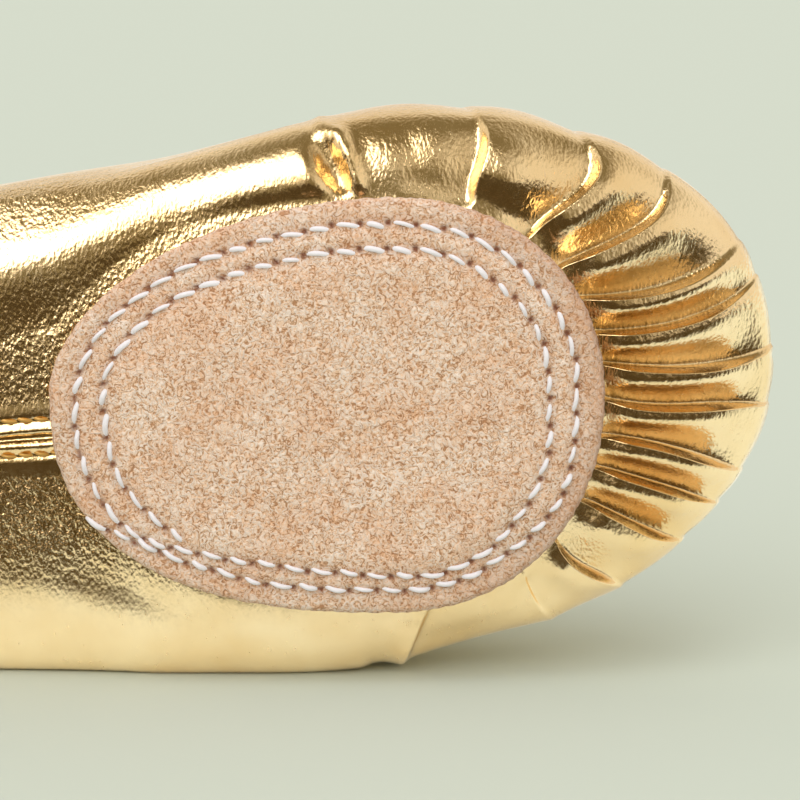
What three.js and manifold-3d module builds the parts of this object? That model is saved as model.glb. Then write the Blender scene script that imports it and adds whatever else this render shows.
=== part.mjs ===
// Split-sole ballet slipper for the left foot, an assembly of upper, two suede sole pads, insole and collar
// binding. The shoe is modelled standing, in millimetres: +X towards the toe, +Y towards the outer side, +Z up,
// with the pads' bearing plane at Z = 0. The group at the end lays it down on its outer side.
import * as THREE from 'three';
import { mergeVertices } from 'three/addons/utils/BufferGeometryUtils.js';
import Module from 'manifold-3d';

const { clamp, degToRad, lerp, smoothstep } = THREE.MathUtils;
const wasm = await Module();
wasm.setup();

// Main sizes
const shoeLength = 232;
const ballWidth = 80.6;
const heelWidth = 58;
const instepHeight = 47; // top of the vamp at the throat
const backHeight = 54; // topline at the back of the heel
const sideHeight = 40; // lowest stretch of the topline
const vampLength = 68; // toe tip to throat
const archLift = 4.5; // rise of the waist above the pads
const toeSpring = 4.5; // rise of the underside at the toe tip

// Leather and its gathers
const wall = 1.4;
const foldHeight = 2.2; // pleats round the toe
const heelFoldHeight = 1.1; // gathers round the heel
const foldRun = 5; // run over which a pleat rises in front of its pad
const archSeamWidth = 5.2;
const archSeamRise = 0.8;
const archSeamFade = 3; // run over which the arch seam flattens before it dives under a pad
const pressedIn = 1.2; // how far the floor flattens the outer side of the lying shoe
const givingRun = 4; // run over which the outer side gives way under the binding
const padFlattening = 0.8; // how far the underside is flattened where the pads bear

// Sole pads, insole and binding
const seat = 0.3; // gap between a sewn piece and what it lies on
const padThickness = 1.8;
const padLap = 7.5; // overlap of a pad over the edge of the upper's opening
const insoleThickness = 1.6;
const insoleShare = 0.74; // insole's half width, as a share of the shoe's
const bindingWidth = 8.5;
const bindingThickness = 1.0;

// Round ends of the plan: lengths of the quarter ovals that close the toe and the heel
const innerToeRun = 50;
const outerToeRun = 76;
const heelRun = 30;
const toeRoundness = 2.1;
const heelRoundness = 2.2;
const toeCapRun = 45; // run over which the vamp and the underside close to the toe tip
const throatRun = 26; // length of the round front of the topline
const springStart = 0.8; // share of the length where the toe spring begins

// Where the lying shoe touches the floor
const outerPlane = ballWidth / 2;
const restHeight = 20; // height over the bearing plane of the point that the shoe lies on
const padSeatHeight = padThickness + seat; // underside of the upper where a pad lies on it
const throatX = shoeLength - vampLength;

// Sections from heel to toe. at: share of the length. widening: share of the widening from heelWidth to
// ballWidth. seam: place of the middle line, as a share of the width from the outer side. lift: share of
// archLift. widest: height of the widest point, as a share of instepHeight. under, outerUnder,
// over: roundness of the section's inner and outer lower quarters and of its upper half.
const sections = [
  { at: 0.0, widening: 0.0, seam: 0.495, lift: 0.0, widest: 0.4, under: 2.4, outerUnder: 2.4, over: 2.3 },
  { at: 0.13, widening: 0.0, seam: 0.495, lift: 0.0, widest: 0.4, under: 2.4, outerUnder: 2.6, over: 2.3 },
  { at: 0.24, widening: 0.02, seam: 0.492, lift: 0.3, widest: 0.4, under: 2.3, outerUnder: 2.9, over: 2.3 },
  { at: 0.35, widening: 0.11, seam: 0.5, lift: 0.9, widest: 0.38, under: 2.2, outerUnder: 3.1, over: 2.3 },
  { at: 0.45, widening: 0.3, seam: 0.506, lift: 1.0, widest: 0.36, under: 2.2, outerUnder: 3.2, over: 2.3 },
  { at: 0.534, widening: 0.49, seam: 0.508, lift: 0.75, widest: 0.34, under: 2.3, outerUnder: 3.3, over: 2.3 },
  { at: 0.63, widening: 0.667, seam: 0.508, lift: 0.25, widest: 0.32, under: 2.5, outerUnder: 3.3, over: 2.3 },
  { at: 0.727, widening: 0.925, seam: 0.513, lift: 0.0, widest: 0.31, under: 2.6, outerUnder: 3.2, over: 2.3 },
  { at: 0.784, widening: 1.0, seam: 0.522, lift: 0.0, widest: 0.31, under: 2.6, outerUnder: 3.0, over: 2.3 },
  { at: 0.9, widening: 1.0, seam: 0.545, lift: 0.0, widest: 0.31, under: 2.4, outerUnder: 2.6, over: 2.3 },
  { at: 1.0, widening: 1.0, seam: 0.563, lift: 0.0, widest: 0.31, under: 2.2, outerUnder: 2.2, over: 2.2 },
];

// Ridge of the closed form over the foot. at: distance in front of the throat, as a share of vampLength.
// height: share of instepHeight.
const crowns = [
  { at: -2.4, height: 1.75 },
  { at: -1.6, height: 1.5 },
  { at: -1.0, height: 1.3 },
  { at: -0.5, height: 1.14 },
  { at: 0.0, height: 1.0 },
  { at: 0.35, height: 0.89 },
  { at: 0.65, height: 0.78 },
  { at: 1.0, height: 0.62 },
];

// Topline. at: share of the way from the heel to the throat. back, throat: shares of the rises from
// sideHeight to backHeight and to instepHeight.
const topline = [
  { at: 0.0, back: 1.0, throat: 0.0 },
  { at: 0.18, back: 0.75, throat: 0.0 },
  { at: 0.42, back: 0.18, throat: 0.0 },
  { at: 0.62, back: 0.0, throat: 0.0 },
  { at: 0.82, back: 0.0, throat: 0.3 },
  { at: 1.0, back: 0.0, throat: 1.0 },
  { at: 1.2, back: 0.0, throat: 2.2 },
];

// Egg-shaped sole pads. at: centre, as a share of the length. front, back: shares of the length.
// inner, outer: shares of the ball width. squareness: power of the oval.
const forefootPad = { at: 0.769, front: 0.1263, back: 0.204, inner: 0.341, outer: 0.385, squareness: 2.2 };
const heelPad = { at: 0.145, front: 0.125, back: 0.095, inner: 0.235, outer: 0.235, squareness: 2.1 };

// Pleats round the toe, laid one way. root, end: bearings in degrees under the pad's edge and at the widest
// line, from straight ahead towards the inner side. tall: share of foldHeight.
const toeFan = 0.748; // middle of the fan, as a share of the length
const toePleats = [
  { root: 88, end: 89, tall: 0.7 },
  { root: 60, end: 63, tall: 0.8 },
  { root: 44, end: 45.5, tall: 0.95 },
  { root: 34, end: 34, tall: 1.0 },
  { root: 25.6, end: 23, tall: 1.0 },
  { root: 16.3, end: 16.4, tall: 1.0 },
  { root: 9.2, end: 6.7, tall: 1.0 },
  { root: 0.9, end: 0.6, tall: 1.0 },
  { root: -7.8, end: -9.7, tall: 1.0 },
  { root: -15.3, end: -15.4, tall: 0.95 },
  { root: -23.8, end: -23.4, tall: 0.9 },
  { root: -35.2, end: -36.4, tall: 0.8 },
  { root: -50, end: -52, tall: 0.4 },
  { root: -72.6, end: -79, tall: 0.5 },
];
const heelFan = 0.13;
const heelGathers = [-110, -132, -151, -170, -190, -209, -228, -250];
const pleatFlank = 1.1; // width of a pleat's steep side, in degrees
const pleatMiddle = 0.55; // height of a pleat halfway down its gentle side

// Levels of a column, as shares of the runs between the pad's edge, the widest line and the binding
const levelsToWidest = [0.22, 0.45, 0.65, 0.82, 0.94, 1];
const levelsToBinding = [0.06, 0.16, 0.3, 0.48, 0.72, 1];
const levelUnderPad = 0.55; // share of the run from the middle line to the pad's edge
const leastPadEdge = 0.4; // least share of a column where its pad's edge is taken to be
const insoleLevels = [0, 0.45, 0.8, 1]; // shares of the insole's half width
const insideLevels = [0.35, 0.65, 0.88, 1]; // shares of the run from the insole to the widest line
const padLevels = [0, 0.45, 0.75, 0.9, 1]; // shares of a pad's half width
const padCorners = 48; // corners of a pad's outline, and of the opening over it
const foldAtRim = 0.25; // what is left of a pleat's height at the widest line
const foldFade = 0.32; // share of the way to the topline over which a pleat dies out
const skinStep = 0.25; // step for the slope of the skin
const lengthSteps = 40; // steps for the length of a column

// Cubic curve through the rows of a table, for one column
function between(rows, column, at) {
  const row = (k) => rows[clamp(k, 0, rows.length - 1)];
  const next = rows.findIndex((r) => r.at > at);
  const i = next < 0 ? rows.length - 2 : Math.max(next - 1, 0);
  const [a, b, c, d] = [row(i - 1), row(i), row(i + 1), row(i + 2)];
  const span = c.at - b.at;
  const t = clamp((at - b.at) / span, 0, 1);
  const slopeB = ((c[column] - a[column]) / (c.at - a.at)) * span;
  const slopeC = ((d[column] - b[column]) / (d.at - b.at)) * span;
  const rise = 3 * t ** 2 - 2 * t ** 3;
  const bend = slopeB * (t ** 3 - 2 * t ** 2 + t) + slopeC * (t ** 3 - t ** 2);
  return lerp(b[column], c[column], rise) + bend;
}

// Height of a quarter oval at a share of its run
const oval = (share, roundness) => (1 - clamp(share, 0, 1) ** roundness) ** (1 / roundness);

// Where a test stops being true on the way between two values
function edgeOf(test, from, to) {
  let [near, far] = [from, to];
  for (let k = 0; k < 40; k++) {
    const middle = (near + far) / 2;
    if (test(middle)) near = middle;
    else far = middle;
  }
  return near;
}

// The section of the closed form at one place along the shoe
const tipY = outerPlane - between(sections, 'seam', 1) * ballWidth;
const heelY = outerPlane - between(sections, 'seam', 0) * heelWidth;

function sectionAt(x) {
  const at = clamp(x / shoeLength, 0, 1);
  const toHeel = (run) => (run - x) / run;
  const toToe = (run) => (x - shoeLength + run) / run;
  const width = lerp(heelWidth, ballWidth, between(sections, 'widening', at));
  const closed = (side, toeRun) => {
    const inFront = lerp(tipY, side, oval(toToe(toeRun), toeRoundness));
    return x < heelRun ? lerp(heelY, side, oval(toHeel(heelRun), heelRoundness)) : inFront;
  };
  const widest = between(sections, 'widest', at) * instepHeight;
  const spring = toeSpring * Math.max(0, (at - springStart) / (1 - springStart)) ** 1.5;
  const under = padSeatHeight - padFlattening + archLift * between(sections, 'lift', at) + spring;
  const crown = instepHeight * between(crowns, 'height', (x - throatX) / vampLength);
  const closing = oval(toHeel(heelRun), heelRoundness) * oval(toToe(toeCapRun), heelRoundness);
  return {
    spine: outerPlane - between(sections, 'seam', at) * width,
    outer: closed(outerPlane + pressedIn, outerToeRun),
    inner: closed(outerPlane - width, innerToeRun),
    widest,
    bottom: lerp(widest, under, closing),
    crown: lerp(widest, crown, closing),
    underRound: between(sections, 'under', at),
    outerUnderRound: between(sections, 'outerUnder', at),
    overRound: between(sections, 'over', at),
  };
}

const sideWidth = (s, y) => (y > s.spine ? s.outer - s.spine : s.spine - s.inner);
const acrossAt = (s, y) => Math.abs(y - s.spine) / Math.max(sideWidth(s, y), 1e-3);

// Height and roundness of the quarter of a section that a point lies in
function quarterOf(s, y, over) {
  if (over) return [s.crown, s.overRound];
  return [s.bottom, y > s.spine ? s.outerUnderRound : s.underRound];
}

// Under 0 inside the closed form, over 0 outside
function form({ x, y, z }) {
  if (x <= 0 || x >= shoeLength) return 1;
  const s = sectionAt(x);
  const [top, round] = quarterOf(s, y, z > s.widest);
  const up = (z - s.widest) / (Math.abs(top - s.widest) < 1e-3 ? 1e-3 : top - s.widest);
  return acrossAt(s, y) ** round + Math.abs(up) ** round - 1;
}

// Skin of the closed form over or under a point of the plan
function skinAt({ x, y }, over) {
  const s = sectionAt(x);
  const [top, round] = quarterOf(s, y, over);
  return new THREE.Vector3(x, y, lerp(s.widest, top, oval(acrossAt(s, y), round)));
}

function normalAt(p) {
  const slope = (axis) => {
    const step = new THREE.Vector3().setComponent(axis, skinStep);
    return form(p.clone().add(step)) - form(p.clone().sub(step));
  };
  return new THREE.Vector3(slope(0), slope(1), slope(2)).normalize();
}

const toplineAt = (x) => {
  const at = x / throatX;
  const back = between(topline, 'back', at) * (backHeight - sideHeight);
  return sideHeight + back + between(topline, 'throat', at) * (instepHeight - sideHeight);
};

// The floor flattens the outer side of the lying shoe, and the upper also gives way under the binding. The
// underside is flat where the pads bear. Returns the flattened point and the direction out of the skin.
function pressed(p, out) {
  const bindingFoot = toplineAt(p.x) - bindingWidth;
  const giving = smoothstep(p.z, bindingFoot - 1 - givingRun, bindingFoot - 1) * (seat + bindingThickness);
  const sideExcess = p.y - (outerPlane - giving);
  const underExcess = padSeatHeight - p.z;
  const flat = new THREE.Vector3(p.x, p.y - Math.max(sideExcess, 0), p.z + Math.max(underExcess, 0));
  const direction = out.clone();
  direction.lerp(new THREE.Vector3(0, 1, 0), clamp(sideExcess / seat, 0, 1));
  direction.lerp(new THREE.Vector3(0, 0, -1), clamp(underExcess / seat, 0, 1));
  return [flat, direction.normalize()];
}

// Plan: middle line, bearings from straight ahead towards the inner side, and the outlines
const spineAt = (x) => new THREE.Vector2(x, sectionAt(x).spine);
const bearing = (degrees) => new THREE.Vector2(Math.cos(degToRad(degrees)), -Math.sin(degToRad(degrees)));
const along = (from, degrees, reach) => from.clone().addScaledVector(bearing(degrees), reach);
const reachOf = (inside, from, degrees) => edgeOf((r) => inside(along(from, degrees, r)), 0, shoeLength);

const inPlan = ({ x, y }) => {
  const s = sectionAt(x);
  return x > 0 && x < shoeLength && y < s.outer && y > s.inner;
};

const inCollar = (p) => p.x > 0 && skinAt(p, true).z > toplineAt(p.x);

const inPad = (pad, grown) => ({ x, y }) => {
  const centre = spineAt(pad.at * shoeLength);
  const [dx, dy] = [x - centre.x, y - centre.y];
  const length = (dx > 0 ? pad.front : pad.back) * shoeLength + grown;
  const width = (dy > 0 ? pad.outer : pad.inner) * ballWidth + grown;
  return Math.abs(dx / length) ** pad.squareness + Math.abs(dy / width) ** pad.squareness < 1;
};

// A column is a line over the skin: out from its centre on the middle line underneath, round the widest line
// and up to the topline. Its bearing turns from root under the pad to end at the widest line.
function makeColumn(centreX, collarX, root, end, fold) {
  const centre = spineAt(centreX);
  const pad = centreX > shoeLength / 2 ? forefootPad : heelPad;
  const rim = along(centre, end, reachOf(inPlan, centre, end));
  const span = rim.distanceTo(centre);
  const lip = along(spineAt(collarX), end, reachOf(inCollar, spineAt(collarX), end));
  const padEdge = Math.max(reachOf(inPad(pad, 2 * seat), centre, root), leastPadEdge * span);
  return { centre, centreX, root, end, fold, rim, span, lip, padEdge };
}

// Point of a column before it is gathered or flattened. way: 0 at the middle line, 1 at the widest line and
// 2 at the topline.
function columnPoint(column, way) {
  if (way > 1) return skinAt(column.lip.clone().lerp(column.rim, Math.cos(((way - 1) * Math.PI) / 2)), true);
  const padWay = column.padEdge / column.span;
  const degrees = lerp(column.root, column.end, clamp((way - padWay) / (1 - padWay), 0, 1));
  return skinAt(along(column.centre, degrees, reachOf(inPlan, column.centre, degrees) * way), false);
}

// How far the leather stands out there: pleats between the pad and the vamp, and the arch seam
const archFrom = (heelPad.at + heelPad.front) * shoeLength;
const archTo = (forefootPad.at - forefootPad.back) * shoeLength;

function gatherAt(column, way) {
  const start = column.padEdge / column.span;
  const risen = smoothstep(way, start, start + foldRun / column.span);
  const sinking = lerp(1, foldAtRim, smoothstep(way, start + foldRun / column.span, 1));
  return column.fold * risen * sinking * (1 - smoothstep(way, 1, 1 + foldFade));
}

function seamAt(column, way) {
  const ends = Math.min(column.centreX - archFrom, archTo - column.centreX);
  return way * column.span < archSeamWidth / 2 + 1e-6 ? archSeamRise * clamp(ends / archSeamFade, 0, 1) : 0;
}

// Point of the skin, out by a distance, with or without its gathers
function skinPoint(column, way, out, gathered) {
  const point = columnPoint(column, way);
  const normal = normalAt(point);
  const folded = gathered ? gatherAt(column, way) : 0;
  const [flat, direction] = pressed(point.addScaledVector(normal, folded), normal);
  const proud = gathered ? seamAt(column, way) : 0;
  return flat.addScaledVector(direction, out + proud);
}

// Ways of a column's levels between the widest line and the topline, spaced by length over the skin
function upperLevels(column) {
  const lengths = [0];
  for (let k = 1; k <= lengthSteps; k++) {
    const [here, before] = [k, k - 1].map((step) => columnPoint(column, 1 + step / lengthSteps));
    lengths.push(lengths[k - 1] + here.distanceTo(before));
  }
  const wayOf = (length) => {
    const k = clamp(lengths.findIndex((l) => l > length), 1, lengthSteps);
    return 1 + (k - 1 + (length - lengths[k - 1]) / (lengths[k] - lengths[k - 1])) / lengthSteps;
  };
  const toBinding = lengths[lengthSteps] - bindingWidth;
  return [...levelsToBinding.map((share) => wayOf(share * toBinding)), 2];
}

function lowerLevels(column) {
  const seamHalf = archSeamWidth / 2 / column.span;
  const seamFoot = seamHalf + seat / column.span;
  const edge = column.padEdge / column.span;
  const toWidest = levelsToWidest.map((share) => lerp(edge, 1, share));
  return [0, seamHalf, seamFoot, levelUnderPad * edge, edge, ...toWidest];
}

const insoleWays = insoleLevels.map((share) => share * insoleShare);
const insideWays = [...insoleWays, ...insideLevels.map((share) => lerp(insoleShare, 1, share))];

// All columns, counter-clockwise from above, from the inner side of the toe
const toeX = toeFan * shoeLength;
const heelX = heelFan * shoeLength;
const collarToeX = throatX - throatRun;
const insideRun = (from, to, count) =>
  Array.from({ length: count }, (_, k) => lerp(from, to, (k + 1) / (count + 1)));
const sideStations = [
  ...insideRun(heelX, archFrom, 2),
  archFrom,
  archFrom + archSeamFade,
  ...insideRun(archFrom + archSeamFade, archTo - archSeamFade, 4),
  archTo - archSeamFade,
  archTo,
  ...insideRun(archTo, toeX, 3),
];

const toeColumns = toePleats.flatMap((pleat, k) => {
  const next = toePleats[k + 1] ?? { root: -90 - pleatFlank, end: -90 - pleatFlank };
  const tall = pleat.tall * foldHeight;
  const toe = (root, end, fold) => makeColumn(toeX, collarToeX, root, end, fold);
  return [
    toe(pleat.root + pleatFlank, pleat.end + pleatFlank, 0),
    toe(pleat.root, pleat.end, tall),
    toe((pleat.root + next.root + pleatFlank) / 2, (pleat.end + next.end + pleatFlank) / 2, pleatMiddle * tall),
  ];
});

const heelColumns = heelGathers.flatMap((crest, k) => {
  const next = heelGathers[k + 1] ?? -270 - pleatFlank;
  const heel = (degrees, fold) => makeColumn(heelX, heelX, degrees, degrees, fold);
  return [
    heel(crest + pleatFlank, 0),
    heel(crest, heelFoldHeight),
    heel((crest + next + pleatFlank) / 2, pleatMiddle * heelFoldHeight),
  ];
});

const sideColumns = (degrees) =>
  sideStations.map((x) => {
    const collarX = lerp(heelX, collarToeX, (x - heelX) / (toeX - heelX));
    return makeColumn(x, collarX, degrees, degrees, 0);
  });

const columns = [
  ...toeColumns,
  makeColumn(toeX, collarToeX, -90, -90, 0),
  ...sideColumns(-90).reverse(),
  makeColumn(heelX, heelX, -90, -90, 0),
  ...heelColumns,
  makeColumn(heelX, heelX, -270, -270, 0),
  ...sideColumns(-270),
];

// Closed body over rings of points, each ring counter-clockwise from above. Unless the rings close on each
// other, the first and the last ring close on themselves.
function ringBody(rings, ringsClose) {
  const count = rings[0].length;
  const vertices = rings.flat().flatMap((p) => p.toArray());
  const soup = new THREE.BufferGeometry();
  soup.setAttribute('position', new THREE.Float32BufferAttribute(vertices, 3));
  const indices = [];
  for (let j = 0; j < rings.length - (ringsClose ? 0 : 1); j++) {
    for (let i = 0; i < count; i++) {
      const [here, above] = [j * count, ((j + 1) % rings.length) * count];
      const next = (i + 1) % count;
      indices.push(here + i, here + next, above + next, here + i, above + next, above + i);
    }
  }
  soup.setIndex(indices);
  return withoutSlivers(mergeVertices(soup));
}

function withoutSlivers(geometry) {
  const kept = [];
  const index = geometry.index.array;
  for (let k = 0; k < index.length; k += 3) {
    const [a, b, c] = [index[k], index[k + 1], index[k + 2]];
    if (a !== b && b !== c && c !== a) kept.push(a, b, c);
  }
  geometry.setIndex(kept);
  return geometry;
}

const bare = (geometry) => {
  const copy = geometry.clone();
  copy.deleteAttribute('normal');
  copy.deleteAttribute('uv');
  return mergeVertices(copy);
};

const solid = (geometry) => {
  const merged = bare(geometry);
  const vertProperties = new Float32Array(merged.attributes.position.array);
  const triVerts = new Uint32Array(merged.index.array);
  return new wasm.Manifold(new wasm.Mesh({ numProp: 3, vertProperties, triVerts }));
};

const geometryOf = (manifold) => {
  const { vertProperties, triVerts } = manifold.getMesh();
  const geometry = new THREE.BufferGeometry();
  geometry.setAttribute('position', new THREE.BufferAttribute(vertProperties, 3));
  geometry.setIndex(new THREE.BufferAttribute(triVerts, 1));
  return geometry;
};

// Outline of a pad in plan, counter-clockwise, grown or shrunk by a distance
function padRim(pad, grown, share) {
  const centre = spineAt(pad.at * shoeLength);
  const corners = Array.from({ length: padCorners }, (_, k) => (-360 * k) / padCorners);
  return corners.map((degrees) => along(centre, degrees, share * reachOf(inPad(pad, grown), centre, degrees)));
}

// Upper: one hollow piece, open at the collar and under both pads
function openingUnder(pad) {
  const outline = new THREE.Shape(padRim(pad, -padLap, 1));
  const prism = new THREE.ExtrudeGeometry(outline, { depth: sideHeight / 2, bevelEnabled: false });
  return solid(prism.translate(0, 0, -padThickness));
}

const ringsOf = (lines) => lines[0].map((_, j) => lines.map((line) => line[j]));

function makeUpper() {
  const outside = columns.map((column) => {
    const levels = [...lowerLevels(column), ...upperLevels(column)];
    return levels.map((way) => skinPoint(column, way, 0, true));
  });
  const inside = columns.map((column) => {
    const levels = [...insideWays, ...upperLevels(column)];
    return levels.map((way) => skinPoint(column, way, -wall, false)).reverse();
  });
  const cup = solid(ringBody([...ringsOf(outside), ...ringsOf(inside)], false));
  return geometryOf(cup.subtract(openingUnder(forefootPad)).subtract(openingUnder(heelPad)));
}

// Suede pads, sewn under the forefoot and the heel
function makePad(pad) {
  const ring = (share, out) =>
    padRim(pad, 0, share).map((corner) => {
      const point = skinAt(corner, false);
      const [flat, direction] = pressed(point, normalAt(point));
      return flat.addScaledVector(direction, out);
    });
  const under = padLevels.map((share) => ring(share, seat + padThickness));
  const over = padLevels.map((share) => ring(share, seat)).reverse();
  return ringBody([...under, ...over], false);
}

// Insole, lying in the upper over both openings
function makeInsole() {
  const ring = (way, rise) => columns.map((column) => skinPoint(column, way, -wall - seat - rise, false));
  const under = insoleWays.map((way) => ring(way, 0));
  const over = insoleWays.map((way) => ring(way, insoleThickness)).reverse();
  return ringBody([...under, ...over], false);
}

// Binding, a folded strip that straddles the edge of the collar
function makeBinding() {
  const strips = columns.map((column) => {
    const [foot, lip] = upperLevels(column).slice(-2);
    const edge = skinPoint(column, lip, 0, false);
    const up = edge.sub(skinPoint(column, foot, 0, false)).normalize();
    const at = (way, out, rise = 0) => skinPoint(column, way, out, false).addScaledVector(up, rise);
    const outer = seat + bindingThickness;
    const inner = -wall - outer;
    return [
      at(foot, outer),
      at(lip, outer),
      at(lip, seat, outer),
      at(lip, -wall - seat, outer),
      at(lip, inner),
      at(foot, inner),
      at(foot, -wall - seat),
      at(lip, -wall - seat, seat),
      at(lip, seat, seat),
      at(foot, seat),
    ];
  });
  return ringBody(ringsOf(strips), true);
}

const goldLeather = new THREE.MeshStandardMaterial({ color: 0xb8924a, roughness: 0.34, metalness: 0.85 });
const tanSuede = new THREE.MeshStandardMaterial({ color: 0xc69a78, roughness: 0.95, metalness: 0 });
const heelSuede = new THREE.MeshStandardMaterial({ color: 0xc39775, roughness: 0.95, metalness: 0 });
const insoleLeather = new THREE.MeshStandardMaterial({ color: 0xd8c3a0, roughness: 0.8, metalness: 0 });
const goldTape = new THREE.MeshStandardMaterial({ color: 0xc2a05c, roughness: 0.6, metalness: 0.3 });

const named = (name, geometry, material) => {
  const mesh = new THREE.Mesh(geometry, material);
  mesh.name = name;
  return mesh;
};

// Lay the shoe on its outer side: +Z goes over to the inner side, the underside faces -Y, and the origin is on
// the flat of the outer side, halfway along the shoe
const slipper = new THREE.Group();
slipper.add(named('upper', makeUpper(), goldLeather));
slipper.add(named('forefoot_sole', makePad(forefootPad), tanSuede));
slipper.add(named('heel_sole', makePad(heelPad), heelSuede));
slipper.add(named('insole', makeInsole(), insoleLeather));
slipper.add(named('collar_binding', makeBinding(), goldTape));
slipper.rotation.x = -Math.PI / 2;
slipper.position.set(-shoeLength / 2, -restHeight, outerPlane);

export default slipper;
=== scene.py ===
import math

import bpy
import numpy as np
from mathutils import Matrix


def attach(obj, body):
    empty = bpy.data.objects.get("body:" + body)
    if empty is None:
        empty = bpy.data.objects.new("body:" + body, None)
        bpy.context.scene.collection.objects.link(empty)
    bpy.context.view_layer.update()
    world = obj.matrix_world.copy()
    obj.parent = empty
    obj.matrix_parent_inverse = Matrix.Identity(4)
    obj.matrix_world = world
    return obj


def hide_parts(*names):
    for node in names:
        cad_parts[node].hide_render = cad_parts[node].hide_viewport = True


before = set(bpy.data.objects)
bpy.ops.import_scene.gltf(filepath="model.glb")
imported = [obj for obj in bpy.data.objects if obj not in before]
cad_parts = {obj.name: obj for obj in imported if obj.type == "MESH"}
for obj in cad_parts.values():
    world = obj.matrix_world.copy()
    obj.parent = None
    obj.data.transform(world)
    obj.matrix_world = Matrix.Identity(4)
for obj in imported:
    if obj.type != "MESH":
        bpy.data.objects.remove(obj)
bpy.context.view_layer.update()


# Upper
# Thin leather with a gold foil face, cut in two halves that meet in a seam under the arch. It is lasted
# inside out, drawn together in pleats round the toe and turned, so that the pleats come out from under the
# forefoot pad and die out over the toe. Cotton lining backs it.
# Shoe terms are millimetres: x from the heel, y from the middle outwards, z over the bearing plane.
MM = 0.001
SHOE_LENGTH = 232.0
BALL_WIDTH = 80.6
HEEL_WIDTH = 58.0
INSTEP_HEIGHT = 47.0
BACK_HEIGHT = 54.0
SIDE_HEIGHT = 40.0
VAMP_LENGTH = 68.0
ARCH_LIFT = 4.5
TOE_SPRING = 4.5
SPRING_START = 0.8
WALL = 1.4
PRESSED_IN = 1.2
GIVING_RUN = 4.0
PAD_FLATTENING = 0.8
SEAT = 0.3
PAD_THICKNESS = 1.8
BINDING_WIDTH = 8.5
BINDING_THICKNESS = 1.0
INNER_TOE_RUN = 50.0
OUTER_TOE_RUN = 76.0
HEEL_RUN = 30.0
TOE_ROUNDNESS = 2.1
HEEL_ROUNDNESS = 2.2
TOE_CAP_RUN = 45.0
THROAT_RUN = 26.0
OUTER_PLANE = BALL_WIDTH / 2
REST_HEIGHT = 20.0
PAD_SEAT_HEIGHT = PAD_THICKNESS + SEAT
THROAT_X = SHOE_LENGTH - VAMP_LENGTH
TOE_X = 0.748 * SHOE_LENGTH
HEEL_X = 0.13 * SHOE_LENGTH

# Sections of the last from heel to toe, as shares of the named sizes
SECTIONS = {
    "at": [0.0, 0.13, 0.24, 0.35, 0.45, 0.534, 0.63, 0.727, 0.784, 0.9, 1.0],
    "widening": [0.0, 0.0, 0.02, 0.11, 0.3, 0.49, 0.667, 0.925, 1.0, 1.0, 1.0],
    "seam": [0.495, 0.495, 0.492, 0.5, 0.506, 0.508, 0.508, 0.513, 0.522, 0.545, 0.563],
    "lift": [0.0, 0.0, 0.3, 0.9, 1.0, 0.75, 0.25, 0.0, 0.0, 0.0, 0.0],
    "widest": [0.4, 0.4, 0.4, 0.38, 0.36, 0.34, 0.32, 0.31, 0.31, 0.31, 0.31],
    "under": [2.4, 2.4, 2.3, 2.2, 2.2, 2.3, 2.5, 2.6, 2.6, 2.4, 2.2],
    "outer_under": [2.4, 2.6, 2.9, 3.1, 3.2, 3.3, 3.3, 3.2, 3.0, 2.6, 2.2],
    "over": [2.3, 2.3, 2.3, 2.3, 2.3, 2.3, 2.3, 2.3, 2.3, 2.3, 2.2],
}
CROWNS = {
    "at": [-2.4, -1.6, -1.0, -0.5, 0.0, 0.35, 0.65, 1.0],
    "height": [1.75, 1.5, 1.3, 1.14, 1.0, 0.89, 0.78, 0.62],
}
TOPLINE = {
    "at": [0.0, 0.18, 0.42, 0.62, 0.82, 1.0, 1.2],
    "back": [1.0, 0.75, 0.18, 0.0, 0.0, 0.0, 0.0],
    "throat": [0.0, 0.0, 0.0, 0.0, 0.3, 1.0, 2.2],
}
# Pads: at, front and back are shares of the length, inner and outer of the ball's width
FOREFOOT_PAD = {
    "at": 0.769, "front": 0.1263, "back": 0.209, "inner": 0.348, "outer": 0.385, "squareness": 2.2,
}
HEEL_PAD = {
    "at": 0.145, "front": 0.125, "back": 0.095, "inner": 0.235, "outer": 0.235, "squareness": 2.1,
}


def between(table, column, at):
    """Smooth curve through one column of a table."""
    xs, ys = np.array(table["at"]), np.array(table[column])
    at = np.clip(at, xs[0], xs[-1])
    i = np.clip(np.searchsorted(xs, at, side="right") - 1, 0, len(xs) - 2)
    before, after = np.maximum(i - 1, 0), np.minimum(i + 2, len(xs) - 1)
    span = xs[i + 1] - xs[i]
    t = (at - xs[i]) / span
    start = (ys[i + 1] - ys[before]) / (xs[i + 1] - xs[before]) * span
    end = (ys[after] - ys[i]) / (xs[after] - xs[i]) * span
    rise = 3 * t**2 - 2 * t**3
    return ys[i] + (ys[i + 1] - ys[i]) * rise + start * (t**3 - 2 * t**2 + t) + end * (t**3 - t**2)


def oval(share, roundness):
    return (1 - np.clip(share, 0, 1) ** roundness) ** (1 / roundness)


def ease(value, start, end):
    t = np.clip((value - start) / (end - start), 0, 1)
    return t * t * (3 - 2 * t)


TIP_Y = OUTER_PLANE - 0.563 * BALL_WIDTH
HEEL_Y = OUTER_PLANE - 0.495 * HEEL_WIDTH


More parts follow.
